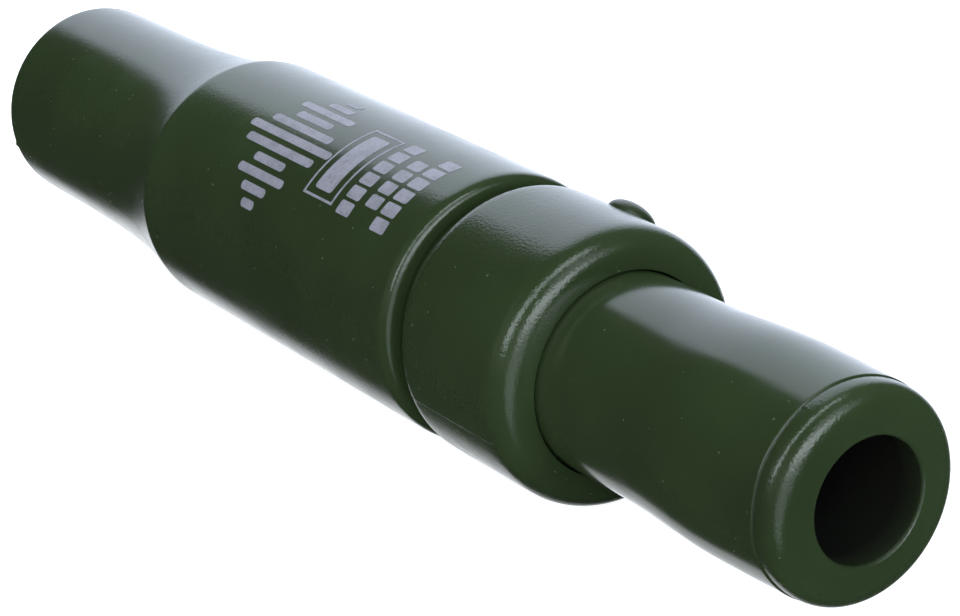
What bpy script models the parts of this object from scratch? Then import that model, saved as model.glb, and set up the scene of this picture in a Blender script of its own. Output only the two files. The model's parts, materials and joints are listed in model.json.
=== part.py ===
"""Closed-reed tube call: an olive moulded barrel with a pull-out head.

The head is a collar, a mouthpiece tube, a reed carrier with its tone board, reed and wedge,
and a sprung tone button whose rubber foot shortens the free length of the reed.

Frame, in metres: the axis of the call lies along X with the mouthpiece at +X, the call rests
on z = 0, and the origin is the middle of its footprint. Along the axis, a station is the
distance behind the lip face. A turned outline is a list of (station, radius) points.
"""

import math

import bmesh
import bpy
from mathutils import Vector

MM = 0.001

# Whole call
LENGTH = 166.0 * MM
BARREL_RADIUS = 16.0 * MM
HEAD_ROLL = math.radians(38)        # the tone button leans this far from straight up, to +Y
SIDES = 48                          # facets of every piece turned about the axis of the call
SMALL_SIDES = 24                    # facets of the pieces turned about the button's axis
SHARP_ANGLE = math.radians(35)

# Mouthpiece tube
LIP_FACE_RADIUS = 8.6 * MM          # the flat lip ends here, and its round edge begins
BEAD_RADIUS = 11.78 * MM
BEAD_ROUND = 2.4 * MM               # length of the round edge along the axis
BEAD_END = 3.4 * MM
CREASE_DEPTH = 0.15 * MM            # of the fine line between the bead and the tube
TUBE_START = 3.65 * MM
TUBE_START_RADIUS = 11.92 * MM
SWELL_STATION = 15.6 * MM
SWELL_RADIUS = 12.17 * MM
TAPER_END = 29.8 * MM
TUBE_RADIUS = 11.5 * MM
LIP_BORE = 6.74 * MM
BORE_STEP_START = 12.0 * MM
BORE_STEP_END = 17.0 * MM
TUBE_BORE = 8.4 * MM
TUBE_END = 47.4 * MM
TUBE_GROOVE = (43.3 * MM, 45.3 * MM)
TUBE_GROOVE_RADIUS = 10.12 * MM

# Collar, the housing of the tone button
COLLAR_FRONT = 40.75 * MM
COLLAR_REAR = 61.3 * MM
COLLAR_ROUND = 3.4 * MM
COLLAR_REAR_ROUND = (2.1 * MM, 1.0 * MM)    # along the axis, and inwards
COLLAR_BORE = 11.7 * MM
COLLAR_MOUTH_EDGE = 0.1 * MM

# Barrel
BARREL_FRONT = 64.0 * MM
BARREL_FRONT_ROUND = 1.5 * MM
CREST = 120.8 * MM                  # the edge behind which the barrel falls away to the horn
CREST_LAND = 0.6 * MM
HORN_RADIUS = 13.2 * MM
HORN_HOLLOW = 4.2                   # how early the barrel falls away to the horn radius
HORN_ROUND = 0.9 * MM
HORN_BORE = 11.2 * MM
BODY_BORE = 12.0 * MM
SOCKET_RADIUS = 12.35 * MM
SOCKET_END = 84.3 * MM

# Reed carrier
CARRIER_FRONT = 48.3 * MM
CARRIER_RADIUS = 11.6 * MM
FLANGE_RADIUS = 13.8 * MM
FLANGE_GAP = 0.3 * MM
TENON_RADIUS = 12.1 * MM
TENON_END = 83.8 * MM
TENON_GROOVES = ((66.4 * MM, 68.6 * MM), (75.4 * MM, 77.6 * MM))
TENON_GROOVE_RADIUS = 10.62 * MM
CHAMBER_RADIUS = 9.0 * MM
CHAMBER_END = 56.6 * MM
BOARD_SEAT = 5.8 * MM
BOARD_SEAT_START = 57.4 * MM
BOARD_SEAT_END = 72.3 * MM
EXHAUST_THROAT = 4.6 * MM
EXHAUST_MOUTH = 9.2 * MM

# Seals: ring radius, and radius of the rubber's round section
TENON_SEAL = (11.48 * MM, 0.78 * MM)
TUBE_SEAL = (10.93 * MM, 0.72 * MM)
STEM_SEAL = (1.69 * MM, 0.42 * MM)
SEAL_SIDES = 8

# Tone board, reed and wedge; heights are above the axis, towards the button
REED_ROOT = 57.0 * MM               # the reed bends in front of this station
BOARD_TIP = 27.0 * MM
BOARD_END = 72.0 * MM
BOARD_RADIUS = 5.55 * MM
BOARD_NOSE = 4.6 * MM               # length of the rounded nose, were it to close to a point
TABLE_HEIGHT = 0.6 * MM
TABLE_DROP = 1.2 * MM
CHANNEL_START = 30.0 * MM
CHANNEL_WIDTH = 3.4 * MM
CHANNEL_FLOOR = -3.6 * MM
REED_TIP = 28.4 * MM
REED_END = 71.5 * MM
REED_BOTTOM = 0.66 * MM
REED_THICKNESS = 0.35 * MM
REED_HALF_WIDTH = 4.6 * MM
WEDGE_START = 57.6 * MM
WEDGE_END = 71.8 * MM
WEDGE_BOTTOM = 1.07 * MM

# Tone button; heights are from the axis of the call, outwards
BUTTON_STATION = 53.3 * MM
BUTTON_RADIUS = 3.05 * MM
BUTTON_TOP = 17.45 * MM
BUTTON_DOME_BASE = 15.75 * MM
BUTTON_SKIRT = 14.9 * MM
BUTTON_HOLLOW = (2.45 * MM, 15.95 * MM)     # radius and roof of the hollow that takes the spring
POCKET_RADIUS = 3.3 * MM
POCKET_FLOOR = 13.3 * MM
STEM_RADIUS = 1.2 * MM
STEM_END = 2.92 * MM
STEM_HOLE = 1.45 * MM
WINDOW_RADIUS = 1.6 * MM
SEAL_RECESS_RADIUS = 2.2 * MM
SEAL_RECESS_ROOF = 12.6 * MM
STEM_SEAL_HEIGHT = 12.1 * MM
CLIP_BOTTOM = 8.25 * MM
CLIP_TOP = 8.65 * MM
CLIP_RADII = (0.86 * MM, 2.1 * MM)
CLIP_OPENING = math.radians(70)
CLIP_GROOVE_RADIUS = 0.8 * MM
CLIP_PLAY = 0.05 * MM
PAD_RADIUS = 2.3 * MM
PAD_BOTTOM = 2.4 * MM
PAD_TOP = 4.3 * MM
PAD_SOCKET = (1.26 * MM, 2.86 * MM)         # radius and floor of the hole for the stem
PAD_ROUND = 0.3 * MM
SPRING_ENDS = (13.48 * MM, 15.77 * MM)
SPRING_RADIUS = 2.05 * MM
SPRING_WIRE = 0.13 * MM
SPRING_TURNS = 4
SPRING_STEPS = 18                           # points of the coil in each turn
SPRING_SIDES = 6

EDGE = 0.3 * MM                             # the small chamfer at the mouths of bores
OUT = 3.0 * MM                              # how far a cutter runs past what it cuts


def clear_scene():
    for obj in list(bpy.data.objects):
        bpy.data.objects.remove(obj, do_unlink=True)


def material(name, colour, roughness, metallic=0.0):
    made = bpy.data.materials.new(name)
    made.use_nodes = True
    shader = made.node_tree.nodes["Principled BSDF"]
    shader.inputs["Base Color"].default_value = (*colour, 1.0)
    shader.inputs["Roughness"].default_value = roughness
    shader.inputs["Metallic"].default_value = metallic
    made.diffuse_color = (*colour, 1.0)
    made.roughness = roughness
    made.metallic = metallic
    return made


def empty(name, parent=None, location=(0, 0, 0), roll=0.0):
    made = bpy.data.objects.new(name, None)
    made.empty_display_size = 0.01
    bpy.context.scene.collection.objects.link(made)
    made.parent = parent
    made.location = location
    made.rotation_euler = (roll, 0, 0)
    return made


def finish(name, bm, parent, finish_material):
    """Turn the mesh's faces outwards and make it an object under its parent."""
    bmesh.ops.recalc_face_normals(bm, faces=bm.faces)
    mesh = bpy.data.meshes.new(name)
    bm.to_mesh(mesh)
    bm.free()
    mesh.shade_smooth()
    mesh.set_sharp_from_angle(angle=SHARP_ANGLE)
    made = bpy.data.objects.new(name, mesh)
    if finish_material:
        mesh.materials.append(finish_material)
    bpy.context.scene.collection.objects.link(made)
    made.parent = parent
    return made


def arc(centre, radii, start, end, steps):
    """Points of an elliptical arc in the (station, radius) plane, angles in degrees."""
    points = []
    for i in range(steps + 1):
        angle = math.radians(start + (end - start) * i / steps)
        points.append((centre[0] + radii[0] * math.cos(angle), centre[1] + radii[1] * math.sin(angle)))
    return points


def ease(start, end, share):
    """A smooth step from start to end."""
    return start + (end - start) * share * share * (3 - 2 * share)


def swept(start, end, steps, stations):
    """A turned stretch that eases from one radius to another between two stations."""
    points = []
    for i in range(steps + 1):
        share = i / steps
        station = stations[0] + (stations[1] - stations[0]) * share
        points.append((station, ease(start, end, share)))
    return points


def on_axis(point, axis):
    return Vector(point).cross(Vector(axis)).length < 1e-9


def spin(outline, axis, sides):
    """Turn a closed outline of 3-D points, or one whose ends are on the axis, about the axis."""
    bm = bmesh.new()
    verts = [bm.verts.new(point) for point in outline]
    edges = [bm.edges.new(pair) for pair in zip(verts, verts[1:])]
    if not on_axis(outline[0], axis):
        edges.append(bm.edges.new((verts[-1], verts[0])))
    bmesh.ops.spin(
        bm, geom=verts + edges, cent=(0, 0, 0), axis=axis, angle=2 * math.pi, steps=sides, use_merge=True
    )
    bmesh.ops.remove_doubles(bm, verts=bm.verts, dist=1e-7)
    return bm


def turned(name, outline, parent, finish_material, sides=SIDES):
    """A piece turned about the axis of the call from its closed (station, radius) outline."""
    bm = spin([(-station, 0.0, radius) for station, radius in outline], (1, 0, 0), sides)
    return finish(name, bm, parent, finish_material)


def upright(name, outline, parent, finish_material, sides=SMALL_SIDES):
    """A piece turned about its parent's Z axis from its (radius, height) outline."""
    bm = spin([(radius, 0.0, height) for radius, height in outline], (0, 0, 1), sides)
    return finish(name, bm, parent, finish_material)


def ring(centre, radius):
    """The round section of a seal, centred at (station or radius, radius or height)."""
    return arc(centre, (radius, radius), 0, 360 - 360 / SEAL_SIDES, SEAL_SIDES - 1)


def cutter(name, outline, parent):
    """A round cutter on the button's axis."""
    made = upright(name, outline, parent, None)
    made.hide_render = True
    made.display_type = "WIRE"
    return made


def cut(target, tool):
    modifier = target.modifiers.new(tool.name, "BOOLEAN")
    modifier.operation = "DIFFERENCE"
    modifier.solver = "EXACT"
    modifier.object = tool


def rod(radius, low, high):
    return [(0, high), (radius, high), (radius, low), (0, low)]


def horn_radius(station):
    share = (station - CREST) / (LENGTH - CREST)
    return HORN_RADIUS + (BARREL_RADIUS - HORN_RADIUS) * (1 - share) ** HORN_HOLLOW


def barrel_outline():
    socket_edge = SOCKET_RADIUS + EDGE
    outline = [(BARREL_FRONT, socket_edge)]
    centre = (BARREL_FRONT + BARREL_FRONT_ROUND, BARREL_RADIUS - BARREL_FRONT_ROUND)
    outline += arc(centre, (BARREL_FRONT_ROUND, BARREL_FRONT_ROUND), 180, 90, 4)
    outline += [(CREST - CREST_LAND, BARREL_RADIUS), (CREST, BARREL_RADIUS)]
    centre = (LENGTH - HORN_ROUND, HORN_RADIUS - HORN_ROUND)
    behind = [CREST_LAND] + [(centre[0] - CREST) * k for k in (0.05, 0.1, 0.16, 0.23, 0.32, 0.43, 0.6)]
    outline += [(CREST + step, horn_radius(CREST + step)) for step in behind]
    outline += arc(centre, (HORN_ROUND, HORN_ROUND), 90, 0, 3)
    outline += [(LENGTH, HORN_BORE + EDGE), (LENGTH - EDGE, HORN_BORE)]
    outline += [(SOCKET_END, BODY_BORE), (SOCKET_END, SOCKET_RADIUS)]
    outline += [(BARREL_FRONT + EDGE, SOCKET_RADIUS)]
    return outline


def mouthpiece_outline():
    outline = [(0.0, LIP_BORE + EDGE)]
    centre = (BEAD_ROUND, LIP_FACE_RADIUS)
    outline += arc(centre, (BEAD_ROUND, BEAD_RADIUS - LIP_FACE_RADIUS), 180, 90, 5)
    crease = ((BEAD_END + TUBE_START) / 2, BEAD_RADIUS - CREASE_DEPTH)
    outline += [(BEAD_END, BEAD_RADIUS), crease]
    outline += swept(TUBE_START_RADIUS, SWELL_RADIUS, 3, (TUBE_START, SWELL_STATION))
    outline += swept(SWELL_RADIUS, TUBE_RADIUS, 5, (SWELL_STATION, TAPER_END))[1:]
    outline += [(TUBE_GROOVE[0], TUBE_RADIUS), (TUBE_GROOVE[0], TUBE_GROOVE_RADIUS)]
    outline += [(TUBE_GROOVE[1], TUBE_GROOVE_RADIUS), (TUBE_GROOVE[1], TUBE_RADIUS)]
    outline += [(TUBE_END - EDGE, TUBE_RADIUS), (TUBE_END, TUBE_RADIUS - EDGE)]
    outline += [(TUBE_END, TUBE_BORE), (BORE_STEP_END, TUBE_BORE), (BORE_STEP_START, LIP_BORE)]
    outline += [(EDGE, LIP_BORE)]
    return outline


def collar_outline():
    outline = [(COLLAR_FRONT, COLLAR_BORE + COLLAR_MOUTH_EDGE)]
    centre = (COLLAR_FRONT + COLLAR_ROUND, BARREL_RADIUS - COLLAR_ROUND)
    outline += arc(centre, (COLLAR_ROUND, COLLAR_ROUND), 180, 90, 6)
    centre = (COLLAR_REAR - COLLAR_REAR_ROUND[0], BARREL_RADIUS - COLLAR_REAR_ROUND[1])
    outline += arc(centre, COLLAR_REAR_ROUND, 90, 0, 5)
    outline += [(COLLAR_REAR, COLLAR_BORE + EDGE), (COLLAR_REAR - EDGE, COLLAR_BORE)]
    outline += [(COLLAR_FRONT + COLLAR_MOUTH_EDGE, COLLAR_BORE)]
    return outline


def carrier_outline():
    flange = (COLLAR_REAR + FLANGE_GAP, BARREL_FRONT - FLANGE_GAP)
    outline = [(CARRIER_FRONT, CHAMBER_RADIUS), (CARRIER_FRONT, CARRIER_RADIUS)]
    outline += [(flange[0], CARRIER_RADIUS), (flange[0], FLANGE_RADIUS)]
    outline += [(flange[1], FLANGE_RADIUS), (flange[1], TENON_RADIUS)]
    for start, end in TENON_GROOVES:
        outline += [(start, TENON_RADIUS), (start, TENON_GROOVE_RADIUS)]
        outline += [(end, TENON_GROOVE_RADIUS), (end, TENON_RADIUS)]
    outline += [(TENON_END - EDGE, TENON_RADIUS), (TENON_END, TENON_RADIUS - EDGE)]
    outline += [(TENON_END, EXHAUST_MOUTH), (BOARD_SEAT_END + EDGE, EXHAUST_THROAT)]
    outline += [(BOARD_SEAT_END, EXHAUST_THROAT), (BOARD_SEAT_END, BOARD_SEAT)]
    outline += [(BOARD_SEAT_START, BOARD_SEAT), (CHAMBER_END, CHAMBER_RADIUS)]
    return outline


def button_outline():
    hollow_radius, hollow_roof = BUTTON_HOLLOW
    dome = (BUTTON_RADIUS, BUTTON_TOP - BUTTON_DOME_BASE)
    outline = [(0, BUTTON_TOP)] + arc((0, BUTTON_DOME_BASE), dome, 90, 0, 6)[1:]
    outline += [(BUTTON_RADIUS, BUTTON_SKIRT), (hollow_radius, BUTTON_SKIRT)]
    outline += [(hollow_radius, hollow_roof), (STEM_RADIUS, hollow_roof)]
    outline += [(STEM_RADIUS, CLIP_TOP + CLIP_PLAY), (CLIP_GROOVE_RADIUS, CLIP_TOP + CLIP_PLAY)]
    outline += [(CLIP_GROOVE_RADIUS, CLIP_BOTTOM - CLIP_PLAY), (STEM_RADIUS, CLIP_BOTTOM - CLIP_PLAY)]
    outline += [(STEM_RADIUS, STEM_END), (0, STEM_END)]
    return outline


def pad_outline():
    socket_radius, socket_floor = PAD_SOCKET
    outline = [(0, socket_floor), (socket_radius, socket_floor), (socket_radius, PAD_TOP)]
    outline += [(PAD_RADIUS, PAD_TOP), (PAD_RADIUS, PAD_BOTTOM + PAD_ROUND)]
    outline += [(PAD_RADIUS - PAD_ROUND, PAD_BOTTOM), (0, PAD_BOTTOM)]
    return outline


def table_height(station):
    """Height of the reed table, which falls away from the reed towards the tip."""
    share = max(0.0, (REED_ROOT - station) / (REED_ROOT - BOARD_TIP))
    return TABLE_HEIGHT - TABLE_DROP * share * share


def board_radius(station):
    """Radius of the underside, which closes in an elliptical nose at the tip."""
    short = max(0.0, BOARD_TIP + BOARD_NOSE - 0.3 * MM - station)
    return BOARD_RADIUS * math.sqrt(1 - (short / BOARD_NOSE) ** 2)


def bridge_sections(bm, sections):
    """Skin a row of closed sections, each with the same number of points, and cap both ends."""
    loops = [[bm.verts.new(point) for point in section] for section in sections]
    for near, far in zip(loops, loops[1:]):
        for i, vert in enumerate(near):
            j = (i + 1) % len(near)
            bm.faces.new((vert, near[j], far[j], far[i]))
    bm.faces.new(loops[0])
    bm.faces.new(reversed(loops[-1]))


def segment_section(station, radius, level, below):
    """A circle cut off at a level: the part below it, or the part above it."""
    half = math.asin(max(-1.0, min(1.0, level / radius)))
    sweep = math.pi + 2 * half if below else math.pi - 2 * half
    start = math.pi - half if below else half
    steps = 14
    points = []
    for i in range(steps + 1):
        angle = start + sweep * i / steps
        points.append((-station, radius * math.cos(angle), radius * math.sin(angle)))
    return points


def make_tone_board(parent, finish_material):
    bm = bmesh.new()
    nose = [BOARD_TIP + BOARD_NOSE * share for share in (0.0, 0.1, 0.3, 0.6)]
    table = [BOARD_TIP + (REED_ROOT - BOARD_TIP) * share for share in (0.3, 0.5, 0.7, 0.85, 1.0)]
    sections = []
    for station in nose + table + [BOARD_END]:
        sections.append(segment_section(station, board_radius(station), table_height(station), True))
    bridge_sections(bm, sections)
    board = finish("tone_board", bm, parent, finish_material)

    half = CHANNEL_WIDTH / 2
    section = [(half, OUT), (-half, OUT)]
    section += [(-half * math.cos(a), CHANNEL_FLOOR + half - half * math.sin(a))
                for a in (math.pi * i / 6 for i in range(7))]
    bm = bmesh.new()
    bridge_sections(bm, [[(-s, y, z) for y, z in section] for s in (CHANNEL_START, BOARD_END + OUT)])
    channel = finish("tone_channel_cutter", bm, parent, None)
    channel.hide_render = True
    channel.display_type = "WIRE"
    cut(board, channel)


def make_reed(parent, finish_material):
    """A flat strip with a rounded tip; its parent sits at the root, on the line it bends about."""
    tip = REED_ROOT - REED_TIP
    end = REED_ROOT - REED_END
    round_length = 3.5 * MM
    plan = [(end, -REED_HALF_WIDTH)]
    plan += arc((tip - round_length, 0), (round_length, REED_HALF_WIDTH), -90, 90, 8)
    plan += [(end, REED_HALF_WIDTH)]
    bm = bmesh.new()
    bridge_sections(bm, [[(x, y, z) for x, y in plan] for z in (0.0, REED_THICKNESS)])
    finish("reed", bm, parent, finish_material)


def make_wedge(parent, finish_material):
    bm = bmesh.new()
    front = WEDGE_START + 0.6 * MM
    stations = ((WEDGE_START, 0.9), (front, 1.0), (WEDGE_END, 1.0))
    bridge_sections(bm, [segment_section(s, BOARD_RADIUS * k, WEDGE_BOTTOM, False) for s, k in stations])
    finish("reed_wedge", bm, parent, finish_material)


def make_clip(parent, finish_material):
    """A C-shaped clip, open on the side that faces the mouth."""
    inner, outer = CLIP_RADII
    steps = 16
    bm = bmesh.new()
    sections = []
    for i in range(steps + 1):
        angle = CLIP_OPENING / 2 + (2 * math.pi - CLIP_OPENING) * i / steps
        corners = ((inner, CLIP_BOTTOM), (outer, CLIP_BOTTOM), (outer, CLIP_TOP), (inner, CLIP_TOP))
        sections.append([(r * math.cos(angle), r * math.sin(angle), z) for r, z in corners])
    bridge_sections(bm, sections)
    finish("button_retainer", bm, parent, finish_material)


def make_spring(parent, finish_material):
    low, high = SPRING_ENDS
    count = SPRING_TURNS * SPRING_STEPS
    rise = (high - low) / count
    slope = math.atan2(rise * SPRING_STEPS, 2 * math.pi * SPRING_RADIUS)
    sections = []
    for i in range(count + 1):
        angle = 2 * math.pi * i / SPRING_STEPS
        section = []
        for k in range(SPRING_SIDES):
            turn = 2 * math.pi * k / SPRING_SIDES
            across = SPRING_WIRE * math.cos(turn)
            up = SPRING_WIRE * math.sin(turn)
            radius = SPRING_RADIUS + across
            along = -up * math.sin(slope)
            section.append((
                radius * math.cos(angle) - along * math.sin(angle),
                radius * math.sin(angle) + along * math.cos(angle),
                low + rise * i + up * math.cos(slope),
            ))
        sections.append(section)
    bm = bmesh.new()
    bridge_sections(bm, sections)
    finish("button_spring", bm, parent, finish_material)


def cut_button_holes(collar, carrier, parent):
    """The stepped hole through the collar, and the window in the carrier's sleeve."""
    above = BARREL_RADIUS + OUT
    recess_low = COLLAR_BORE - OUT
    hole = [(0, above), (POCKET_RADIUS, above), (POCKET_RADIUS, POCKET_FLOOR)]
    hole += [(STEM_HOLE, POCKET_FLOOR), (STEM_HOLE, SEAL_RECESS_ROOF)]
    hole += [(SEAL_RECESS_RADIUS, SEAL_RECESS_ROOF), (SEAL_RECESS_RADIUS, recess_low), (0, recess_low)]
    cut(collar, cutter("button_hole_cutter", hole, parent))
    window = rod(WINDOW_RADIUS, CHAMBER_RADIUS - OUT, CARRIER_RADIUS + OUT)
    cut(carrier, cutter("stem_window_cutter", window, parent))


def main():
    clear_scene()
    olive = material("olive_plastic", (0.031, 0.052, 0.021), 0.22)
    olive_button = material("button_plastic", (0.028, 0.048, 0.019), 0.3)
    black_plastic = material("board_plastic", (0.018, 0.018, 0.018), 0.4)
    rubber = material("seal_rubber", (0.012, 0.012, 0.012), 0.7)
    pad_rubber = material("pad_rubber", (0.03, 0.03, 0.03), 0.8)
    mylar = material("reed_film", (0.62, 0.6, 0.5), 0.25)
    cork = material("wedge_cork", (0.42, 0.26, 0.13), 0.85)
    spring_steel = material("spring_steel", (0.55, 0.55, 0.56), 0.25, 1.0)
    clip_steel = material("clip_steel", (0.3, 0.3, 0.31), 0.35, 1.0)

    axis = empty("call_axis", location=(LENGTH / 2, 0, BARREL_RADIUS))
    rolled = empty("head_roll", axis, roll=-HEAD_ROLL)
    button_axis = empty("button_axis", rolled, (-BUTTON_STATION, 0, 0))
    reed_root = empty("reed_root", rolled, (-REED_ROOT, 0, REED_BOTTOM))

    turned("barrel", barrel_outline(), axis, olive)
    turned("mouthpiece_tube", mouthpiece_outline(), axis, olive)
    collar = turned("collar", collar_outline(), rolled, olive)
    carrier = turned("reed_carrier", carrier_outline(), rolled, olive)
    cut_button_holes(collar, carrier, button_axis)

    names = ("barrel_oring_front", "barrel_oring_rear")
    for name, groove in zip(names, TENON_GROOVES):
        section = ring((sum(groove) / 2, TENON_SEAL[0]), TENON_SEAL[1])
        turned(name, section, axis, rubber)
    turned("mouthpiece_oring", ring((sum(TUBE_GROOVE) / 2, TUBE_SEAL[0]), TUBE_SEAL[1]), axis, rubber)

    make_tone_board(rolled, black_plastic)
    make_wedge(rolled, cork)
    make_reed(reed_root, mylar)

    upright("tone_button", button_outline(), button_axis, olive_button)
    upright("tone_pad", pad_outline(), button_axis, pad_rubber)
    upright("button_seal", ring((STEM_SEAL[0], STEM_SEAL_HEIGHT), STEM_SEAL[1]), button_axis, rubber)
    make_clip(button_axis, clip_steel)
    make_spring(button_axis, spring_steel)


main()
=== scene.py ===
"""Looks of the closed-reed tube call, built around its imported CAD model.

Each turned piece is read back from its CAD node as an outline, softened at its corners and turned
again finely, with its mould seams and small flaws. The rest is the print on the barrel, the
procedural materials, the pale floor, the studio light and the camera.

Metres, in the frame of the CAD: the axis of the call lies along X with the mouthpiece at +X. A
station is the distance behind the lip face; an azimuth is an angle about the axis from straight up
towards +Y.
"""

import json
import math
from collections import namedtuple

import bmesh
import bpy
from mathutils import Matrix, Vector


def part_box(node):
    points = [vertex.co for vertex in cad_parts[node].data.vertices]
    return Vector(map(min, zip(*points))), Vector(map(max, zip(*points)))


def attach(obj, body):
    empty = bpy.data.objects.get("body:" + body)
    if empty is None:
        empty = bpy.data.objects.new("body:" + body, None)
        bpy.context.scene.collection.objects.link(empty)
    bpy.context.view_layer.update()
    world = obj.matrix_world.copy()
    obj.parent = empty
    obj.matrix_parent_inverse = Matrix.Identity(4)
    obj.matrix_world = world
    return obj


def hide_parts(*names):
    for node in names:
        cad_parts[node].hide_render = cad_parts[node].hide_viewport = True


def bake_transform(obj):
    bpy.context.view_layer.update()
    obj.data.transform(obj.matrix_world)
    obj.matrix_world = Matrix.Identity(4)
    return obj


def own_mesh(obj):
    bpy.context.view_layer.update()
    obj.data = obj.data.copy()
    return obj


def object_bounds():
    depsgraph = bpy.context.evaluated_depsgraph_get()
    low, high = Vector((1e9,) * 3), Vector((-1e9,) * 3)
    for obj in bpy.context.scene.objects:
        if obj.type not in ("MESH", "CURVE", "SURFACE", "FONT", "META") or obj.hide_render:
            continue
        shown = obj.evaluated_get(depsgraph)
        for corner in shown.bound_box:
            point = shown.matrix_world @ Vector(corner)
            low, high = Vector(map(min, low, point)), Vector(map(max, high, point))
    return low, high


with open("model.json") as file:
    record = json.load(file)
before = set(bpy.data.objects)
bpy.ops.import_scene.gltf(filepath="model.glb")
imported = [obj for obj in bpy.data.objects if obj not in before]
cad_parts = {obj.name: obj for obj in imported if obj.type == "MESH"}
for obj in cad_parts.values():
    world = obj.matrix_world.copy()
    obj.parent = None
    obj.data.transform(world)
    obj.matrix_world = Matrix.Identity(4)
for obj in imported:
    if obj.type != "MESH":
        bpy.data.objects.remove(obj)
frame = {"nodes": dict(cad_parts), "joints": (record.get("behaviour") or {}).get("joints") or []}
cad_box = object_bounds()

MM = 0.001
LOW, HIGH = cad_box
CALL_RADIUS = (HIGH.z - LOW.z) / 2
LIP = Vector((HIGH.x, 0, LOW.z + CALL_RADIUS))      # where the axis of the call meets the lip face
PRESS = next(j for j in frame["joints"] if j["name"] == "tone_button_press")
REED_HINGE = next(j for j in frame["joints"] if j["name"] == "reed_flex")
UP = Vector((0, 0, 1))
OUTWARD = -Vector(PRESS["axis"]).normalized()       # from the axis of the call to the button
ROLLED = -OUTWARD                                   # a side of the head that no hole crosses
BUTTON_X = sum(corner.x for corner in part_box("tone_button")) / 2

Turning = namedtuple("Turning", "origin axis away side")
Seam = namedtuple("Seam", "azimuth width height")
Flaw = namedtuple("Flaw", "station azimuth height size")

CALL = Turning(LIP, Vector((-1, 0, 0)), UP, Vector((0, 1, 0)))
BUTTON = Turning(
    Vector((BUTTON_X, 0, LIP.z)), OUTWARD, Vector((1, 0, 0)), OUTWARD.cross(Vector((1, 0, 0)))
)

# Turned surfaces
FINE_SIDES = 224
INNER_SIDES = 128
BUTTON_SIDES = 96
SOFT_TURN = math.radians(34)        # a sharper corner of an outline is an edge, a softer one a curve
EDGE_RADIUS = 0.2 * MM
TINY = 1e-6
# Painted shade: a bore's colour is painted darker from its ends inwards, fully dark from this depth on.
DEEP = 1 * MM                       # a bore is at its darkest from this far inside
HOLE_REACH = 4.2 * MM               # all of the button's hole lies nearer to its axis than this
SPRING_TURNS = 4

# Mould seams and small burrs of the shells
BARREL_SEAMS = [Seam(math.radians(a), 0.16 * MM, 0.012 * MM) for a in (-110.5, 69.5)]
COLLAR_SEAMS = [Seam(math.radians(a), 0.16 * MM, 0.015 * MM) for a in (-111.5, 68.5)]
SEAM_FADE = (108 * MM, 122 * MM)    # the barrel's seams are polished down between these stations
SEAM_LEFT = 0.25                    # share of their height that is left behind them
HORN_BURR = Flaw(165.0 * MM, math.radians(-107.8), 0.25 * MM, 0.5 * MM)
COLLAR_BURR = Flaw(60.2 * MM, math.radians(-103.3), 0.15 * MM, 0.4 * MM)
LIP_BURR = Flaw(3.3 * MM, math.radians(-30.4), 0.1 * MM, 0.3 * MM)

# Finish
OLIVE = (0.031, 0.052, 0.021)
DUST = (0.2, 0.24, 0.18)
# Painted shade: the colour that the walls deep inside a bore are painted.
UNLIT_BORE = (0.012, 0.013, 0.011)
BLACK_PLASTIC = (0.02, 0.02, 0.021)
INK = (0.37, 0.38, 0.48)
THIN_INK = (0.05, 0.07, 0.05)
GRAIN_SCALE = 3000                  # of the spark-eroded grain, per metre
LIP_GRAIN = (3 * MM, 4 * MM)        # the mouthpiece's grain fades between these stations

# Print on the barrel
INK_PROUD = 0.03 * MM
INK_DEPTH = 0.02 * MM
PRINT_AZIMUTH = math.radians(-29.2)
WAVE = (2.8, 5.4, 10.3, 6.8, 15.0, 18.2, 13.2, 7.7, 11.4, 5.0, 2.8)     # lengths of its bars, mm
WAVE_STATION = 96.9 * MM
WAVE_PITCH = 1.9 * MM
WAVE_SHIFT = -0.8 * MM              # of the wave's middle, around the barrel
WAVE_THICK = 1.15 * MM
FRAME_STATION = 84.4 * MM
FRAME_SIZE = (6.0 * MM, 11.6 * MM)  # along the barrel, and around it
FRAME_LINE = 0.32 * MM
FRAME_BAR = (3.5 * MM, 9.6 * MM)
BAR_CORNER = 0.5 * MM
BLOCK_ROWS = ((78.6, 6, 2.7), (74.6, 4, 2.5), (71.2, 6, 2.8))           # station, blocks, height, mm
BLOCK_PITCH = 2.2 * MM
BLOCK_WIDTH = 1.75 * MM
BLOCK_CORNER = 0.3 * MM

# Camera and studio
VIEW_PITCH = math.radians(20.125)
VIEW_SIDE = (-0.83538, 0.54967)     # heading of the view over the floor
FOCAL = 117.5                       # mm, on a sensor 36 mm wide
CAMERA_OFFSET = (2.3713, -1.1784, 19.0195)      # lip centre from the camera: right, up, ahead, in radii
RIBBON = ((0.094, 0.0, 0.155), (0.083, -0.080, 0.128), (0.058, -0.103, 0.053))
RIBBON_WIDTH = 32 * MM
RIBBON_LENGTHS = ((-0.12, 0.27), (0.31, 0.60), (0.65, 1.06))    # shares of the way along it
RIBBON_GLOW = ((0.9, 1.0, 1.05), 4.3)
AMBIENT = (0.03, 0.035, 0.03)
BACKDROP_LOW, BACKDROP_HIGH = (1.58, 1.64, 1.7), (1.45, 1.6, 1.9)
STRIP_GLOW = (5.0, 5.5, 5.8)
STRIP_NORMAL = (0.345, 0.776, -0.527)           # the strip runs along the great circle square to this
OVERHEAD_LEVEL = 0.10
ROOM_LEVEL = 0.22
FLOOR_GLOW = 0.95                   # only for the camera, so that the floor is as white as the backdrop
FLOOR_TONES = (0.8, 0.8, 0.8), (0.78, 0.785, 0.79)
WARM_WHITE = (1.0, 0.99, 0.95)


# ---------------------------------------------------------------- outlines and turned pieces

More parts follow.
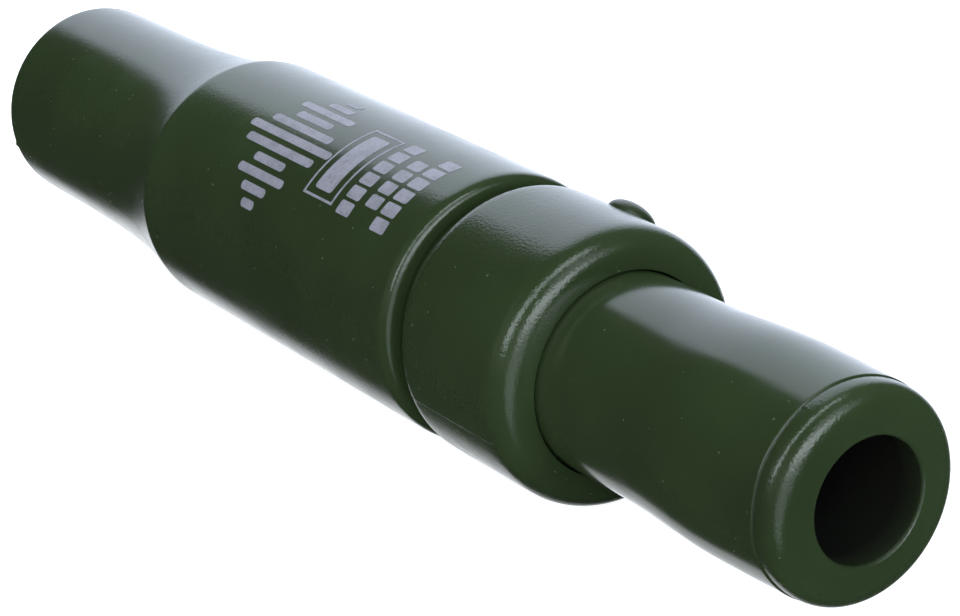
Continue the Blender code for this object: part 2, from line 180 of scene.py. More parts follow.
def meridian(node, turning, away, solid=False):
    """Outline of a turned CAD node, as (station, radius) points, where it crosses a half plane."""
    mesh = frame["nodes"][node].data
    keys, points = {}, {}
    for vertex in mesh.vertices:
        offset = vertex.co - turning.origin
        station = offset.dot(turning.axis)
        out = offset - turning.axis * station
        if out.length > TINY and (out.normalized() - away).length > 2e-3:
            continue
        key = (round(station, 5), round(out.length, 5))
        keys[vertex.index] = key
        points.setdefault(key, (station, out.length))
    joined = {key: set() for key in points}
    for edge in mesh.edges:
        a, b = (keys.get(i) for i in edge.vertices)
        if a and b and a != b:
            joined[a].add(b)
            joined[b].add(a)
    ends = [key for key in joined if len(joined[key]) < 2]
    here = min(ends or joined, key=lambda key: (key[1] > TINY, key[0]))
    chain, left = [here], set(joined) - {here}
    while left:
        near = [key for key in joined[here] if key in left]
        if not near:
            near = sorted(left, key=lambda key: (len(joined[key]) > 1, math.dist(key, here)))
        here = near[0]
        chain.append(here)
        left.discard(here)
    outline = [points[key] for key in chain]
    if solid:
        outline = [(outline[0][0], 0.0)] * (outline[0][1] > TINY) + outline
        outline += [(outline[-1][0], 0.0)] * (outline[-1][1] > TINY)
    return outline


def towards(a, b, distance):
    length = math.dist(a, b)
    share = distance / length
    return (a[0] + (b[0] - a[0]) * share, a[1] + (b[1] - a[1]) * share)


def soften(outline, closed=True, edge=EDGE_RADIUS):
    """Round every corner of an outline. Returns (station, radius, wear) points: wear is 1 on edges."""
    count = len(outline)
    area = sum(a[0] * b[1] - b[0] * a[1] for a, b in zip(outline, outline[1:] + outline[:1]))
    soft = []
    for i, here in enumerate(outline):
        if not closed and i in (0, count - 1):
            soft.append((*here, 0.0))
            continue
        before, after = outline[i - 1], outline[(i + 1) % count]
        lengths = math.dist(before, here), math.dist(here, after)
        ways = [(q[0] - p[0], q[1] - p[1]) for p, q in ((before, here), (here, after))]
        cross = ways[0][0] * ways[1][1] - ways[0][1] * ways[1][0]
        turn = math.atan2(cross, ways[0][0] * ways[1][0] + ways[0][1] * ways[1][1])
        sharp = abs(turn) > SOFT_TURN
        if sharp:
            reach = [min(edge, 0.3 * length) for length in lengths]
        else:
            reach = [min(lengths[0], 3 * lengths[1]) / 2, min(lengths[1], 3 * lengths[0]) / 2]
        start, end = towards(here, before, reach[0]), towards(here, after, reach[1])
        wear = 1.0 if sharp and turn * area > 0 else 0.0
        steps = 4 if sharp else max(2, round(abs(turn) / math.radians(3.5)))
        if sharp:
            soft.append((*towards(here, before, reach[0] * 1.5), 0.3 * wear))
        for k in range(steps + 1):
            t = k / steps
            weights = (1 - t) ** 2, 2 * t * (1 - t), t * t
            soft.append((
                sum(w * p[0] for w, p in zip(weights, (start, here, end))),
                sum(w * p[1] for w, p in zip(weights, (start, here, end))),
                wear,
            ))
        if sharp:
            soft.append((*towards(here, after, reach[1] * 1.5), 0.3 * wear))
    clean = [soft[0]]
    for point in soft[1:]:
        if math.dist(point[:2], clean[-1][:2]) > 2e-6:
            clean.append(point)
    if closed and math.dist(clean[0][:2], clean[-1][:2]) < 2e-6:
        clean.pop()
    return clean


def divided(outline, longest):
    """The same outline with its long straight stretches cut into shorter ones."""
    out = []
    for here, after in zip(outline, outline[1:] + outline[:1]):
        steps = max(1, math.ceil(math.dist(here[:2], after[:2]) / longest))
        for k in range(steps):
            out.append(tuple(p + (q - p) * k / steps for p, q in zip(here, after)))
    return out


def place(turning, station, radius, azimuth):
    out = turning.away * math.cos(azimuth) + turning.side * math.sin(azimuth)
    return turning.origin + turning.axis * station + out * radius


def wrapped(angle):
    return (angle + math.pi) % (2 * math.pi) - math.pi


def proud_by(station, radius, azimuth, seams, flaws, skin):
    """How far a point of the outer skin stands out, for a mould seam or a small flaw."""
    if radius < skin:
        return 0.0
    rise = 0.0
    for seam in seams:
        across = wrapped(azimuth - seam.azimuth) * radius / (seam.width / 2)
        faint = 1 - (station - SEAM_FADE[0]) / (SEAM_FADE[1] - SEAM_FADE[0])
        faint = min(1.0, max(SEAM_LEFT, faint))
        rise += seam.height * faint * max(0.0, 1 - across * across)
    for flaw in flaws:
        across = wrapped(azimuth - flaw.azimuth) * radius
        far = math.hypot(station - flaw.station, across) / flaw.size
        rise += flaw.height * math.exp(-far * far * 2)
    return rise


def lathe(name, outline, turning=CALL, sides=FINE_SIDES, closed=True, seams=(), flaws=(), skin=1.0,
          bore=0.0):
    """Turn (station, radius, wear) points about an axis; points on the axis become poles.

    Seams, flaws and wear show on the skin only, outside its radius. Inside the radius of the bore
    a painted shade darkens a piece from its ends inwards.
    """
    azimuths = [2 * math.pi * i / sides for i in range(sides)]
    for seam in seams:
        half = seam.width / 2 / CALL_RADIUS
        azimuths += [(seam.azimuth + half * k / 2) % (2 * math.pi) for k in (-2, -1, 0, 1, 2)]
    for flaw in flaws:
        half = flaw.size / CALL_RADIUS
        azimuths += [(flaw.azimuth + half * k / 3) % (2 * math.pi) for k in range(-4, 5)]
    azimuths = sorted(set(round(a, 6) for a in azimuths))
    bm = bmesh.new()
    wear = bm.verts.layers.float.new("wear")
    inside = bm.verts.layers.float.new("inside")
    first, last = min(p[0] for p in outline), max(p[0] for p in outline)
    rows = []
    for station, radius, worn in outline:
        row = []
        # Painted shade: how deep into a bore a point lies, which darkens its colour.
        depth = min(station - first, last - station) / DEEP if radius < bore else 0.0
        for azimuth in azimuths if radius > TINY else azimuths[:1]:
            rise = proud_by(station, radius, azimuth, seams, flaws, skin)
            vert = bm.verts.new(place(turning, station, radius + rise, azimuth))
            vert[wear] = worn if radius > skin else 0.0
            vert[inside] = min(1.0, depth)
            row.append(vert)
        rows.append(row)
    count = len(azimuths)
    pairs = list(zip(rows, rows[1:])) + [(rows[-1], rows[0])] * closed
    for near, far in pairs:
        for i in range(count):
            j = (i + 1) % count
            corners = [near[i % len(near)], near[j % len(near)]]
            corners += [far[j % len(far)], far[i % len(far)]]
            corners = list(dict.fromkeys(corners))
            if len(corners) > 2:
                bm.faces.new(corners)
    return made(name, bm)


def made(name, bm, sharp=None):
    """An object from a bmesh, with its faces turned outwards and smooth."""
    bmesh.ops.recalc_face_normals(bm, faces=bm.faces)
    mesh = bpy.data.meshes.new(name)
    bm.to_mesh(mesh)
    bm.free()
    mesh.shade_smooth()
    if sharp:
        mesh.set_sharp_from_angle(angle=sharp)
    obj = bpy.data.objects.new(name, mesh)
    bpy.context.scene.collection.objects.link(obj)
    return obj


def carve(obj, tool, sharp=math.radians(30)):
    """Cut the tool out of obj for good."""
    modifier = obj.modifiers.new("carve", "BOOLEAN")
    modifier.operation = "DIFFERENCE"
    modifier.solver = "EXACT"
    modifier.object = tool
    graph = bpy.context.evaluated_depsgraph_get()
    mesh = bpy.data.meshes.new_from_object(obj.evaluated_get(graph))
    obj.modifiers.clear()
    obj.data = mesh
    bpy.data.objects.remove(tool)
    mesh.shade_smooth()
    mesh.set_sharp_from_angle(angle=sharp)


def fit_out(obj, body, slot, material, *nodes):
    """Put a piece on its body with its finish, in place of the CAD nodes that it stands for."""
    obj.data.materials.clear()
    obj.data.materials.append(material)
    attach(obj, body)
    if nodes:
        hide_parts(*nodes)
    return obj


# ---------------------------------------------------------------- material nodes

def node(tree, kind, inputs=(), **settings):
    """Add a shader node; inputs are values or the output sockets of other nodes."""
    new = tree.nodes.new("ShaderNode" + kind)
    for key, value in settings.items():
        setattr(new, key, value)
    for key, value in dict(inputs).items():
        if isinstance(value, bpy.types.NodeSocket):
            tree.links.new(value, new.inputs[key])
        else:
            new.inputs[key].default_value = value
    return new


def maths(tree, operation, a, b=0.0, c=0.0):
    return node(tree, "Math", {0: a, 1: b, 2: c}, operation=operation).outputs[0]


def ramp(tree, value, low, high, start=0.0, end=1.0):
    """Smoothly from start to end as value goes from low to high."""
    inputs = {0: value, 1: low, 2: high, 3: start, 4: end}
    return node(tree, "MapRange", inputs, interpolation_type="SMOOTHSTEP").outputs[0]


def mixed(tree, share, a, b):
    colours = [(*c, 1.0) if isinstance(c, tuple) and len(c) == 3 else c for c in (a, b)]
    mix = node(tree, "Mix", {0: share, 6: colours[0], 7: colours[1]}, data_type="RGBA")
    return mix.outputs[2]


def noise(tree, where, scale, detail=2.0, roughness=0.5):
    inputs = {"Vector": where, "Scale": scale, "Detail": detail, "Roughness": roughness}
    return node(tree, "TexNoise", inputs).outputs[0]


def new_material(name, colour, roughness):
    material = bpy.data.materials.new(name)
    material.use_nodes = True
    tree = material.node_tree
    shader = tree.nodes["Principled BSDF"]
    material.diffuse_color = (*colour, 1.0)
    material.roughness = roughness
    where = node(tree, "TexCoord").outputs["Object"]
    return material, tree, shader, where


def set_inputs(tree, shader, **values):
    for key, value in values.items():
        socket = shader.inputs[key.replace("_", " ")]
        if isinstance(value, bpy.types.NodeSocket):
            tree.links.new(value, socket)
        else:
            socket.default_value = (*value, 1.0) if isinstance(value, tuple) else value


def bumps(tree, layers):
    """One normal from several (height, depth) layers, the depth in metres."""
    normal = None
    for height, depth in layers:
        inputs = {"Strength": 1.0, "Distance": depth, "Height": height}
        if normal:
            inputs["Normal"] = normal
        normal = node(tree, "Bump", inputs).outputs[0]
    return normal


def moulded_plastic(name, colour, roughness, grain=1.0, specks=1.0, lip=None):
    """Semi-gloss moulded plastic: spark-eroded grain, slow waviness, worn edges, scuffs, dust, and a
    painted shade deep in its bores.

    Given the x of the lip face, the grain fades out just behind it.
    """
    material, tree, shader, where = new_material(name, colour, roughness)
    grain_height = noise(tree, where, GRAIN_SCALE, 1.5, 0.6)
    wavy = noise(tree, where, 330, 2.0)
    fade = noise(tree, where, 45, 3.0)
    tones = [tuple(channel * k for channel in colour) for k in (0.88, 1.12)]
    body = mixed(tree, ramp(tree, fade, 0.3, 0.7), *tones)
    peaks = ramp(tree, grain_height, 0.6, 0.75, 0.0, 0.2)
    body = mixed(tree, peaks, body, tuple(channel * 1.5 for channel in colour))

    worn = node(tree, "Attribute", attribute_name="wear").outputs["Fac"]
    patchy = noise(tree, where, 1500, 4.0, 0.7)
    worn = maths(tree, "MULTIPLY", worn, ramp(tree, patchy, 0.45, 0.7))
    pale = tuple(0.6 * c + 0.03 for c in colour)
    body = mixed(tree, maths(tree, "MULTIPLY", worn, 0.3), body, pale)

    cells = node(tree, "TexVoronoi", {"Vector": where, "Scale": 900.0, "Randomness": 1.0})
    size = noise(tree, where, 900, 1.0)
    near = maths(tree, "LESS_THAN", cells.outputs["Distance"], maths(tree, "MULTIPLY", size, 0.2))
    chance = node(tree, "SeparateColor", {0: cells.outputs["Color"]}).outputs[0]
    dust = maths(tree, "MULTIPLY", near, maths(tree, "GREATER_THAN", chance, 0.86))
    dust = maths(tree, "MULTIPLY", dust, 0.35 * specks)
    body = mixed(tree, dust, body, DUST)
    # Painted shade: the colour darkens deep in a bore, towards UNLIT_BORE.
    inside = node(tree, "Attribute", attribute_name="inside").outputs["Fac"]
    body = mixed(tree, inside, body, UNLIT_BORE)

    stretch = node(tree, "Mapping", {"Vector": where, "Scale": (60, 1500, 1500)}).outputs[0]
    hairline = ramp(tree, noise(tree, stretch, 1.0, 1.0), 0.74, 0.8)
    smudge = ramp(tree, noise(tree, where, 110, 4.0, 0.6), 0.4, 0.75, -0.03, 0.06)
    gloss = maths(tree, "ADD", smudge, roughness)
    gloss = maths(tree, "MULTIPLY_ADD", hairline, 0.08, gloss)
    gloss = maths(tree, "MULTIPLY_ADD", worn, 0.1, gloss)
    gloss = maths(tree, "MULTIPLY_ADD", dust, 0.5, gloss)
    gloss = maths(tree, "MULTIPLY_ADD", inside, 0.3, gloss)

    if lip is not None:
        x = node(tree, "SeparateXYZ", {0: where}).outputs[0]
        near_lip = ramp(tree, x, lip - LIP_GRAIN[1], lip - LIP_GRAIN[0], 0.0, 1.0)
        grain_height = maths(tree, "MULTIPLY", grain_height, near_lip)
    relief = bumps(tree, [
        (wavy, 0.010 * MM),
        (grain_height, 0.036 * grain * MM),
        (hairline, -0.002 * MM),
    ])
    # The painted shade in a bore also dims its gloss.
    shine = maths(tree, "MULTIPLY_ADD", inside, -0.4, 0.5)
    set_inputs(
        tree, shader, Base_Color=body, Roughness=gloss, Normal=relief, IOR=1.5,
        Specular_IOR_Level=shine,
    )
    return material


def printed_ink(name):
    """Pad-printed pale ink, thin enough to be speckled by the grain under it."""
    material, tree, shader, where = new_material(name, INK, 0.5)
    speckle = ramp(tree, noise(tree, where, 2600, 3.0, 0.7), 0.36, 0.5)
    patchy = ramp(tree, noise(tree, where, 420, 3.0, 0.6), 0.35, 0.6, 0.8, 1.0)
    cover = maths(tree, "MULTIPLY", ramp(tree, speckle, 0.0, 1.0, 0.72, 1.0), patchy)
    colour = mixed(tree, cover, THIN_INK, INK)
    relief = bumps(tree, [(noise(tree, where, 2600, 2.0), 0.008 * MM)])
    set_inputs(tree, shader, Base_Color=colour, Roughness=0.46, Normal=relief, IOR=1.45)
    return material


def rubber(name, shade, roughness, bloom):
    """Dull moulded rubber, with a pale bloom and a fine bumpy skin."""
    material, tree, shader, where = new_material(name, (shade,) * 3, roughness)
    bloomed = ramp(tree, noise(tree, where, 260, 4.0, 0.65), 0.45, 0.75)
    pale = (shade + bloom, shade + bloom, shade + bloom * 0.95)
    colour = mixed(tree, bloomed, (shade,) * 3, pale)
    gloss = maths(tree, "MULTIPLY_ADD", bloomed, 0.12, roughness)
    relief = bumps(tree, [(noise(tree, where, 3500, 3.0, 0.6), 0.012 * MM)])
    set_inputs(tree, shader, Base_Color=colour, Roughness=gloss, Normal=relief)
    return material


def steel(name, shade, roughness, grain_axis):
    """Drawn or stamped steel, with fine lines along one axis and a few dull stains."""
    material, tree, shader, where = new_material(name, (shade,) * 3, roughness)
    scale = tuple(300 if k == grain_axis else 6000 for k in range(3))
    lines = noise(tree, node(tree, "Mapping", {"Vector": where, "Scale": scale}).outputs[0], 1.0)
    stain = ramp(tree, noise(tree, where, 900, 4.0, 0.6), 0.5, 0.72)
    stained = (shade * 0.55, shade * 0.5, shade * 0.44)
    colour = mixed(tree, stain, (shade, shade, shade * 1.02), stained)
    gloss = maths(tree, "MULTIPLY_ADD", lines, 0.15, roughness)
    gloss = maths(tree, "MULTIPLY_ADD", stain, 0.2, gloss)
    relief = bumps(tree, [(lines, 0.002 * MM)])
    set_inputs(tree, shader, Base_Color=colour, Metallic=1.0, Roughness=gloss, Normal=relief)
    return material


def reed_film(name):
    """Frosted polyester film, slightly yellow, with fine lengthwise polishing marks."""
    material, tree, shader, where = new_material(name, (0.62, 0.6, 0.5), 0.25)
    stretched = node(tree, "Mapping", {"Vector": where, "Scale": (70, 2500, 2500)}).outputs[0]
    marks = noise(tree, stretched, 1.0, 2.0)
    haze = noise(tree, where, 180, 3.0)
    colour = mixed(tree, haze, (0.66, 0.64, 0.52), (0.56, 0.53, 0.4))
    gloss = maths(tree, "MULTIPLY_ADD", marks, 0.25, 0.14)
    relief = bumps(tree, [(marks, 0.002 * MM)])
    set_inputs(
        tree, shader, Base_Color=colour, Roughness=gloss, Normal=relief,
        Transmission_Weight=0.45, IOR=1.6,
    )
    return material


def cork(name):
    """Pressed cork: pale granules of uneven tone with dark crumbs and pits between them."""
    material, tree, shader, where = new_material(name, (0.42, 0.26, 0.13), 0.85)
    cells = node(tree, "TexVoronoi", {"Vector": where, "Scale": 1500.0, "Randomness": 1.0})
    tone = node(tree, "SeparateColor", {0: cells.outputs["Color"]}).outputs[0]
    colour = mixed(tree, tone, (0.33, 0.19, 0.085), (0.52, 0.34, 0.18))
    crumbs = ramp(tree, noise(tree, where, 900, 4.0, 0.7), 0.62, 0.72)
    colour = mixed(tree, crumbs, colour, (0.1, 0.05, 0.025))
    pits = ramp(tree, cells.outputs["Distance"], 0.1, 0.75, 1.0, 0.0)
    relief = bumps(tree, [(pits, 0.05 * MM), (crumbs, -0.06 * MM)])
    set_inputs(tree, shader, Base_Color=colour, Roughness=0.88, Normal=relief)
    return material


# ---------------------------------------------------------------- pieces

def make_shells(olive, head_olive, mouth_olive):
    """The three shells that show: barrel, collar and mouthpiece tube."""
    outline = divided(soften(meridian("barrel", CALL, UP)), 9 * MM)
    barrel = lathe("barrel_shell", outline, seams=BARREL_SEAMS, flaws=[HORN_BURR],
                   skin=12.8 * MM, bore=12.7 * MM)
    fit_out(barrel, "barrel", "barrel_plastic", olive, "barrel")

    outline = divided(soften(meridian("collar", CALL, ROLLED)), 1.2 * MM)
    collar = lathe("collar_shell", outline, seams=COLLAR_SEAMS, flaws=[COLLAR_BURR],
                   skin=14.5 * MM)
    cut_button_hole(collar)
    fit_out(collar, "head", "head_plastic", head_olive, "collar")

    outline = divided(soften(meridian("mouthpiece_tube", CALL, UP)), 4 * MM)
    tube = lathe("mouthpiece_shell", outline, flaws=[LIP_BURR], skin=11.0 * MM, bore=8.6 * MM)
    fit_out(tube, "mouthpiece", "mouthpiece_plastic", mouth_olive, "mouthpiece_tube")


def from_button(point):
    """How far out a point lies along the button's axis, and its distance from that axis."""
    offset = point - BUTTON.origin
    height = offset.dot(OUTWARD)
    return height, (offset - OUTWARD * height).length


def cut_button_hole(collar):
    """The stepped hole of the button, its outer rim slightly rounded."""
    pocket_radius, steps = hole_levels()
    tool = lathe("hole_tool", [(s, r, 0.0) for s, r in steps], BUTTON, BUTTON_SIDES, closed=False)
    carve(collar, tool)
    bm = bmesh.new()
    bm.from_mesh(collar.data)
    rim = []
    for edge in bm.edges:
        middle = (edge.verts[0].co + edge.verts[1].co) / 2
        height, around = from_button(middle)
        outer = math.hypot(middle.y, middle.z - LIP.z)
        sharp = len(edge.link_faces) == 2 and edge.calc_face_angle(0) > math.radians(40)
        on_rim = abs(around - pocket_radius) < 0.03 * MM and outer > CALL_RADIUS - 0.05 * MM
        if sharp and height > 0 and on_rim:
            rim.append(edge)
    bmesh.ops.bevel(bm, geom=rim, offset=0.14 * MM, segments=3, affect="EDGES", clamp_overlap=True)
    bm.to_mesh(collar.data)
    bm.free()
    collar.data.shade_smooth()
    collar.data.set_sharp_from_angle(angle=math.radians(30))


def hole_levels():
    """Radius of the button's pocket, and the outline of the stepped hole, read from the collar."""
    heights = {}
    for vertex in frame["nodes"]["collar"].data.vertices:
        height, around = from_button(vertex.co)
        if height > 0 and around < HOLE_REACH:
            heights.setdefault(round(around, 5), []).append(height)
    steps = sorted((r, min(h), max(h)) for r, h in heights.items() if len(h) > 12)
    stem, recess, pocket = steps[0], steps[1], steps[-1]
    over = CALL_RADIUS + 3 * MM
    under = recess[1] - 1.5 * MM
    outline = [(over, 0.0), (over, pocket[0]), (pocket[1], pocket[0]), (pocket[1], stem[0])]
    outline += [(stem[1], stem[0]), (stem[1], recess[0]), (under, recess[0]), (under, 0.0)]
    return pocket[0], outline


def make_button(olive, rubber_pad, clip_steel):
    """The button with its stem, the rubber foot on the stem's end, and the clip around it."""
    outline = meridian("tone_button", BUTTON, BUTTON.away, solid=True)
    outline = soften(outline, closed=False, edge=0.12 * MM)
    button = lathe("tone_button_cap", outline, BUTTON, BUTTON_SIDES, closed=False)
    fit_out(button, "tone_button", "button_plastic", olive, "tone_button")
    outline = meridian("tone_pad", BUTTON, BUTTON.away, solid=True)
    outline = soften(outline, closed=False, edge=0.1 * MM)
    pad = lathe("tone_pad_rubber", outline, BUTTON, BUTTON_SIDES, closed=False)
    fit_out(pad, "tone_button", "pad_rubber", rubber_pad, "tone_pad")
    clip = refined("button_retainer", "retainer_clip", 0.06 * MM, 2)
    fit_out(clip, "tone_button", "clip_steel", clip_steel, "button_retainer")


def refined(source, name, width, segments):
    """A copy of a CAD node with its triangles joined into flats and its edges rounded."""
    bm = bmesh.new()
    bm.from_mesh(frame["nodes"][source].data)
    bmesh.ops.remove_doubles(bm, verts=bm.verts, dist=TINY)
    bmesh.ops.dissolve_limit(bm, angle_limit=math.radians(0.5), verts=bm.verts, edges=bm.edges)
    crease = math.radians(38)
    edges = [e for e in bm.edges if len(e.link_faces) == 2 and e.calc_face_angle(0) > crease]
    bmesh.ops.bevel(
        bm, geom=edges, offset=width, segments=segments, affect="EDGES", clamp_overlap=True
    )
    return made(name, bm, sharp=crease)


def seal(node_name, name, turning, away, sides):
    """A rubber ring: a true round section, as wide as its CAD node's."""
    points = meridian(node_name, turning, away)
    centre = [sum(p[k] for p in points) / len(points) for k in (0, 1)]
    radius = max(math.dist(p, centre) for p in points)
    steps = 24
    section = []
    for i in range(steps):
        angle = 2 * math.pi * i / steps
        along, out = radius * math.cos(angle), radius * math.sin(angle)
        section.append((centre[0] + along, centre[1] + out, 0.0))
    return lathe(name, section, turning, sides)


def make_seals(black_rubber):
    """The four O-rings."""
    for node_name in ("barrel_oring_front", "barrel_oring_rear"):
        ring = seal(node_name, node_name + "_ring", CALL, UP, INNER_SIDES)
        fit_out(ring, "barrel_seals", "seal_rubber", black_rubber, node_name)
    ring = seal("mouthpiece_oring", "mouthpiece_oring_ring", CALL, UP, INNER_SIDES)
    fit_out(ring, "mouthpiece_seal", "seal_rubber", black_rubber, "mouthpiece_oring")
    ring = seal("button_seal", "button_seal_ring", BUTTON, BUTTON.away, 64)
    fit_out(ring, "head", "seal_rubber", black_rubber, "button_seal")


def make_carrier(olive):
    """The reed carrier, with the window in its wall under the button."""
    outline = soften(meridian("reed_carrier", CALL, ROLLED), edge=0.15 * MM)
    carrier = lathe("reed_carrier_body", outline, sides=INNER_SIDES)
    reach = CALL_RADIUS
    spots = [from_button(v.co) for v in frame["nodes"]["reed_carrier"].data.vertices]
    radius = min(around for height, around in spots if height > 0)
    tool = lathe("window_tool", [(reach, 0, 0), (reach, radius, 0), (0, radius, 0), (0, 0, 0)],
                 BUTTON, 64, closed=False)
    carve(carrier, tool)
    fit_out(carrier, "head", "head_plastic", olive, "reed_carrier")


def make_spring(spring_steel):
    """A round-wire coil between the pocket's floor and the button's roof, its ends closed flat."""
    spots = [from_button(v.co) for v in frame["nodes"]["button_spring"].data.vertices]
    heights, radii = zip(*spots)
    wire = (max(radii) - min(radii)) / 2
    radius = (max(radii) + min(radii)) / 2
    low, high = min(heights) + wire, max(heights) - wire
    steps, sides = SPRING_TURNS * 48, 14
    bm = bmesh.new()
    loops = []
    for i in range(steps + 1):
        share = i / steps
        angle = 2 * math.pi * SPRING_TURNS * share
        centre = place(BUTTON, low + (high - low) * share, radius, angle)
        out = (centre - place(BUTTON, low + (high - low) * share, 0.0, angle)).normalized()
        climb = (high - low) / SPRING_TURNS / (2 * math.pi * radius)
        ahead = (OUTWARD.cross(out) + OUTWARD * climb).normalized()
        over = ahead.cross(out)
        loops.append([
            bm.verts.new(centre + wire * (out * math.cos(2 * math.pi * k / sides)
                                          + over * math.sin(2 * math.pi * k / sides)))
            for k in range(sides)
        ])
    for near, far in zip(loops, loops[1:]):
        for k in range(sides):
            j = (k + 1) % sides
            bm.faces.new((near[k], near[j], far[j], far[k]))
    bm.faces.new(loops[0])
    bm.faces.new(loops[-1])
    spring = made("button_spring_coil", bm, sharp=math.radians(60))
    fit_out(spring, "head", "spring_steel", spring_steel, "button_spring")
    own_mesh(spring)


def make_board_and_wedge(board_plastic, wedge_cork):
    """The tone board under the reed, and the cork that wedges the reed's root."""
    board = refined("tone_board", "tone_board_body", 0.12 * MM, 3)
    fit_out(board, "head", "board_plastic", board_plastic, "tone_board")
    wedge = refined("reed_wedge", "reed_wedge_cork", 0.2 * MM, 3)
    fit_out(wedge, "head", "wedge_cork", wedge_cork, "reed_wedge")


def make_reed(film):
    """The reed, cut finely along its length from its root to its rounded nose."""
    hinge = Vector(REED_HINGE["pos_m"])
    across = Vector(REED_HINGE["axis"]).normalized()
    along = Vector((1, 0, 0))
    over = across.cross(along)
    if over.dot(OUTWARD) < 0:
        over = -over
    spots = [v.co - hinge for v in frame["nodes"]["reed"].data.vertices]
    front, back = max(s.dot(along) for s in spots), min(s.dot(along) for s in spots)
    half = max(s.dot(across) for s in spots)
    bottom, top = min(s.dot(over) for s in spots), max(s.dot(over) for s in spots)
    nose = 3.5 * MM
    edge = 0.05 * MM
    straight = 0.8                      # share of the rows that lie along the straight sides
    rows = []
    steps = 72
    for i in range(steps + 1):
        share = i / steps
        if share < straight:
            x = back + (front - nose - back) * share / straight
            wide = half
        else:
            bend = (share - straight) / (1 - straight) * math.pi / 2
            x = front - nose + nose * math.sin(bend)
            wide = max(half * math.cos(bend), 0.25 * MM)
        rows.append((x, wide))
    bm = bmesh.new()
    loops = []
    for x, wide in rows:
        section = [(-wide, bottom + edge), (-wide + edge, bottom), (0, bottom)]
        section += [(wide - edge, bottom), (wide, bottom + edge)]
        section += [(wide, top - edge), (wide - edge, top), (0, top)]
        section += [(-wide + edge, top), (-wide, top - edge)]
        loops.append([bm.verts.new(hinge + along * x + across * y + over * z) for y, z in section])
    for near, far in zip(loops, loops[1:]):
        for k in range(len(near)):
            j = (k + 1) % len(near)
            bm.faces.new((near[k], near[j], far[j], far[k]))
    bm.faces.new(loops[0])
    bm.faces.new(loops[-1])
    reed = made("reed_strip", bm, sharp=math.radians(40))
    reed.data.materials.append(film)
    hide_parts("reed")
    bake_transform(reed)


# ---------------------------------------------------------------- print on the barrel

def sheet(bm, grid, closed=False):
    """A thin closed slab over the barrel from rows of (station, azimuth) points."""
    levels = []
    for height in (INK_PROUD, -INK_DEPTH):
        levels.append([
            [bm.verts.new(place(CALL, s, CALL_RADIUS + height, a)) for s, a in row] for row in grid
        ])
    rows, columns = len(grid), len(grid[0])
    wrap = columns if closed else columns - 1
    for level in levels:
        for i in range(rows - 1):
            for k in range(wrap):
                j = (k + 1) % columns
                bm.faces.new((level[i][k], level[i][j], level[i + 1][j], level[i + 1][k]))
    rims = [[(i, k) for k in range(wrap + (not closed))] for i in (0, rows - 1)]
    if not closed:
        rims += [[(i, k) for i in range(rows)] for k in (0, columns - 1)]
    for rim in rims:
        pairs = list(zip(rim, rim[1:])) + ([(rim[-1], rim[0])] if closed else [])
        for (i, k), (m, n) in pairs:
            bm.faces.new((levels[0][i][k], levels[0][m][n], levels[1][m][n], levels[1][i][k]))


def bar(bm, station, middle, height, width, corner):
    """A rounded bar: height along the axis, width around it, middle an arc length from the centre."""
    rows = []
    steps = max(2, math.ceil(width / (0.35 * MM)))
    ends = [corner * (1 - math.cos(math.pi / 2 * k / 4)) for k in range(4)]
    across = [-width / 2 + e for e in ends]
    across += [-width / 2 + corner + (width - 2 * corner) * k / steps for k in range(steps + 1)]
    across += [width / 2 - e for e in reversed(ends)]
    for v in across:
        inset = max(0.0, abs(v) - (width / 2 - corner))
        half = height / 2 - corner + math.sqrt(max(0.0, corner ** 2 - inset ** 2))
        azimuth = PRINT_AZIMUTH + (middle + v) / CALL_RADIUS
        rows.append([(station + half * k, azimuth) for k in (-1, 0, 1)])
    sheet(bm, rows)


def frame_line(bm, station, middle, height, width, line):
    """The outline of a rectangle, as a closed band of even width."""
    around, along = 24, 6               # steps of its sides

    def corners(grow):
        h, w = height / 2 + grow, width / 2 + grow
        points = [(station - h, middle - w + 2 * w * k / around) for k in range(around)]
        points += [(station - h + 2 * h * k / along, middle + w) for k in range(along)]
        points += [(station + h, middle + w - 2 * w * k / around) for k in range(around)]
        points += [(station + h - 2 * h * k / along, middle - w) for k in range(along)]
        return [(s, PRINT_AZIMUTH + v / CALL_RADIUS) for s, v in points]

    sheet(bm, [corners(-line / 2), corners(line / 2)], closed=True)


def make_print(ink):
    """A sound wave over a framed bar and three rows of plain blocks, reading around the barrel."""
    bm = bmesh.new()
    for i, height in enumerate(WAVE):
        middle = (i - (len(WAVE) - 1) / 2) * WAVE_PITCH + WAVE_SHIFT
        bar(bm, WAVE_STATION, middle, height * MM, WAVE_THICK, BAR_CORNER)
    fit_print("print_wave", bm, ink)

    bm = bmesh.new()
    frame_line(bm, FRAME_STATION, 0.0, *FRAME_SIZE, FRAME_LINE)
    bar(bm, FRAME_STATION, 0.0, *FRAME_BAR, BAR_CORNER)
    fit_print("print_frame", bm, ink)

    bm = bmesh.new()
    for station, blocks, height in BLOCK_ROWS:
        for i in range(blocks):
            middle = (i - (blocks - 1) / 2) * BLOCK_PITCH
            bar(bm, station * MM, middle, height * MM, BLOCK_WIDTH, BLOCK_CORNER)
    fit_print("print_blocks", bm, ink)


def fit_print(name, bm, ink):
    fit_out(made(name, bm, sharp=math.radians(40)), "barrel", "barrel_plastic", ink)


# ---------------------------------------------------------------- studio

